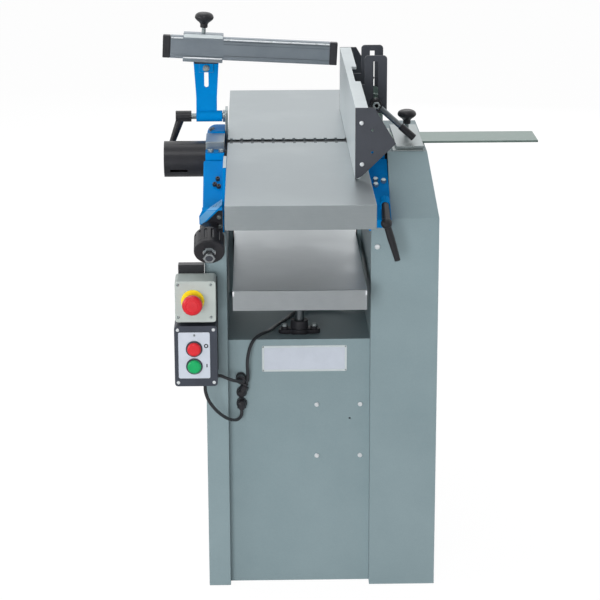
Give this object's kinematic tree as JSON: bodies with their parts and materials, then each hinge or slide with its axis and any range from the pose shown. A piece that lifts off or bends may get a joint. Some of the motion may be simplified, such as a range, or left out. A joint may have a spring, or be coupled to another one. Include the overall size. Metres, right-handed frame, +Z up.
{
  "type": "combination planer thicknesser",
  "caption": "Floor-standing planer thicknesser with surfacing tables, tilting fence, bridge guard and rising bed.",
  "frame": {"origin": "on the floor, under the middle of the cutter block", "axes": "+X to the right seen from the infeed end, +Y along the feed towards the outfeed, +Z up"},
  "size_m": [0.7301, 1.086, 1.0892],
  "materials": {
    "cabinet_paint": "grey green textured powder coat",
    "blue_paint": "bright blue gloss enamel",
    "table_iron": "fine ground working face",
    "bed_iron": "ground working face",
    "cutter_steel": "turned steel",
    "zinc": "bright zinc plate",
    "fence_aluminium": "anodised extrusion",
    "guard_aluminium": "anodised extrusion",
    "plate_black": "dark grey powder coat",
    "black_plastic": "moulded, slightly glossy",
    "black_rubber": "smooth sheath",
    "motor_grey": "grey enamel",
    "stop_grey": "moulded light grey",
    "switch_grey": "moulded dark grey",
    "label_white": "printed plate without words",
    "stop_yellow": "moulded yellow",
    "button_red": "moulded red",
    "button_green": "moulded green"
  },
  "bodies": {
    "machine": {"left_column": "cabinet_paint", "right_column": "cabinet_paint", "front_panel": "cabinet_paint", "rear_panel": "cabinet_paint", "cabinet_plates": "cabinet_paint", "drive_cover": "cabinet_paint", "cabinet_screws": "zinc", "left_frame": "blue_paint", "right_frame": "blue_paint", "bearing_housings": "table_iron", "spindle_guard": "black_plastic", "outfeed_table": "table_iron", "motor_body": "motor_grey", "drive_belt": "black_rubber", "post_flanges": "black_plastic", "lift_chain": "cutter_steel", "guard_mount": "zinc", "fence_guide": "zinc", "switch_bracket": "black_plastic", "stop_box": "stop_grey", "stop_collar": "stop_yellow", "start_box": "switch_grey", "start_face": "label_white", "cable_glands": "black_plastic", "lead_loop": "black_rubber", "lead_short": "black_rubber", "lead_long": "black_rubber"},
    "cutter": {"cutter_block": "cutter_steel", "cutter_knives": "cutter_steel", "cutter_pulley": "cutter_steel"},
    "rotor": {"motor_shaft": "cutter_steel"},
    "front_roller": {"feed_roller_front": "cutter_steel"},
    "rear_roller": {"feed_roller_rear": "cutter_steel"},
    "bed": {"thicknesser_bed": "bed_iron", "lift_posts": "cutter_steel"},
    "front_nut": {"lift_nut_front": "cutter_steel"},
    "rear_nut": {"lift_nut_rear": "cutter_steel"},
    "infeed": {"infeed_table": "table_iron", "infeed_bar_left": "blue_paint", "infeed_bar_right": "blue_paint", "depth_plate": "black_plastic"},
    "depth_adjuster": {"depth_knob": "black_plastic", "depth_spindle": "zinc"},
    "infeed_lock": {"lock_lever": "black_plastic"},
    "guard_swing_arm": {"guard_arm": "blue_paint"},
    "guard_head": {"guard_clamp": "guard_aluminium"},
    "guard_bar": {"guard_beam": "guard_aluminium", "guard_caps": "black_plastic"},
    "guard_bar_knob": {"guard_knob": "black_plastic"},
    "guard_lock": {"guard_lever": "black_plastic"},
    "carriage": {"fence_carriage": "zinc"},
    "fence_swivel": {"fence_sliders": "cutter_steel"},
    "fence": {"fence_slot_plates": "plate_black", "fence_plate": "fence_aluminium", "fence_ends": "plate_black"},
    "fence_lock": {"fence_lever": "black_plastic"},
    "carriage_knob": {"fence_knob": "black_plastic"},
    "emergency_stop": {"stop_button": "button_red"},
    "stop_switch": {"red_button": "button_red"},
    "start_switch": {"green_button": "button_green"}
  },
  "joints": [
    {"name": "cutter_spin", "type": "hinge", "parent": "machine", "child": "cutter", "pos_m": [0, 0, 0.815], "axis": [1, 0, 0], "continuous": true},
    {"name": "motor_spin", "type": "hinge", "parent": "machine", "child": "rotor", "pos_m": [0.15, 0, 0.22], "axis": [1, 0, 0], "continuous": true},
    {"name": "front_roller_spin", "type": "hinge", "parent": "machine", "child": "front_roller", "pos_m": [0, -0.06, 0.797], "axis": [1, 0, 0], "continuous": true},
    {"name": "rear_roller_spin", "type": "hinge", "parent": "machine", "child": "rear_roller", "pos_m": [0, 0.06, 0.797], "axis": [1, 0, 0], "continuous": true},
    {"name": "bed_lift", "type": "slide", "parent": "machine", "child": "bed", "axis": [0, 0, 1], "range_m": [-0.05, 0.145]},
    {"name": "front_nut_turn", "type": "hinge", "parent": "machine", "child": "front_nut", "pos_m": [0.006, -0.127, 0.487], "axis": [0, 0, 1], "range_deg": [-4501, 13051]},
    {"name": "rear_nut_turn", "type": "hinge", "parent": "machine", "child": "rear_nut", "pos_m": [0.006, 0.127, 0.487], "axis": [0, 0, 1], "range_deg": [-4501, 13051]},
    {"name": "infeed_depth", "type": "slide", "parent": "machine", "child": "infeed", "axis": [0, -0.8854, -0.4648], "range_m": [0, 0.0065]},
    {"name": "depth_turn", "type": "hinge", "parent": "infeed", "child": "depth_adjuster", "pos_m": [-0.1625, -0.235, 0.73943], "axis": [0, -0.8854, -0.4648], "range_deg": [-1, 1561]},
    {"name": "infeed_lock_turn", "type": "hinge", "parent": "infeed", "child": "infeed_lock", "pos_m": [0.16475, -0.20403, 0.77941], "axis": [0, -0.8854, -0.4648], "range_deg": [-25, 25]},
    {"name": "guard_swing", "type": "hinge", "parent": "machine", "child": "guard_swing_arm", "pos_m": [-0.17, 0.09, 0.882], "axis": [1, 0, 0], "range_deg": [0, 90]},
    {"name": "guard_height", "type": "slide", "parent": "guard_swing_arm", "child": "guard_head", "axis": [0, 0, -1], "range_m": [0, 0.028]},
    {"name": "guard_reach", "type": "slide", "parent": "guard_head", "child": "guard_bar", "axis": [-0.9986, 0, 0.0523], "range_m": [-0.012, 0.21]},
    {"name": "guard_knob_turn", "type": "hinge", "parent": "guard_head", "child": "guard_bar_knob", "pos_m": [-0.177, 0.09, 1.019], "axis": [0.0523, 0, 0.9986], "range_deg": [-180, 180]},
    {"name": "guard_lock_turn", "type": "hinge", "parent": "machine", "child": "guard_lock", "pos_m": [-0.215, 0.09, 0.882], "axis": [1, 0, 0], "range_deg": [-45, 75]},
    {"name": "fence_slide", "type": "slide", "parent": "machine", "child": "carriage", "axis": [-1, 0, 0], "range_m": [-0.01, 0.13]},
    {"name": "fence_tilt", "type": "hinge", "parent": "carriage", "child": "fence_swivel", "pos_m": [0.1555, 0, 0.933], "axis": [0, 1, 0], "range_deg": [0, 45]},
    {"name": "fence_drop", "type": "slide", "parent": "fence_swivel", "child": "fence", "axis": [0, 0, -1], "range_m": [-0.0001, 0.0394]},
    {"name": "fence_lock_turn", "type": "hinge", "parent": "carriage", "child": "fence_lock", "pos_m": [0.1555, 0, 0.933], "axis": [0, -1, 0], "range_deg": [0, 57]},
    {"name": "carriage_knob_turn", "type": "hinge", "parent": "machine", "child": "carriage_knob", "pos_m": [0.223, 0.044, 0.88], "axis": [0, 0, 1], "range_deg": [-180, 180]},
    {"name": "emergency_stop_press", "type": "slide", "parent": "machine", "child": "emergency_stop", "axis": [0, 1, 0], "range_m": [0, 0.005], "stiffness_N_per_m": 900, "springref_m": -0.001},
    {"name": "stop_press", "type": "slide", "parent": "machine", "child": "stop_switch", "axis": [0, 1, 0], "range_m": [0, 0.004], "stiffness_N_per_m": 700, "springref_m": -0.001},
    {"name": "start_press", "type": "slide", "parent": "machine", "child": "start_switch", "axis": [0, 1, 0], "range_m": [0, 0.004], "stiffness_N_per_m": 700, "springref_m": -0.001}
  ],
  "couplings": [
    {"joint": "motor_spin", "follows": "cutter_spin", "ratio": 0.48889},
    {"joint": "rear_roller_spin", "follows": "front_roller_spin", "ratio": 1},
    {"joint": "front_nut_turn", "follows": "bed_lift", "rad_per_m": 1570.8},
    {"joint": "rear_nut_turn", "follows": "bed_lift", "rad_per_m": 1570.8},
    {"joint": "depth_turn", "follows": "infeed_depth", "rad_per_m": 4188.8},
    {"joint": "fence_drop", "follows": "fence_tilt", "m_per_rad": 0.05}
  ]
}
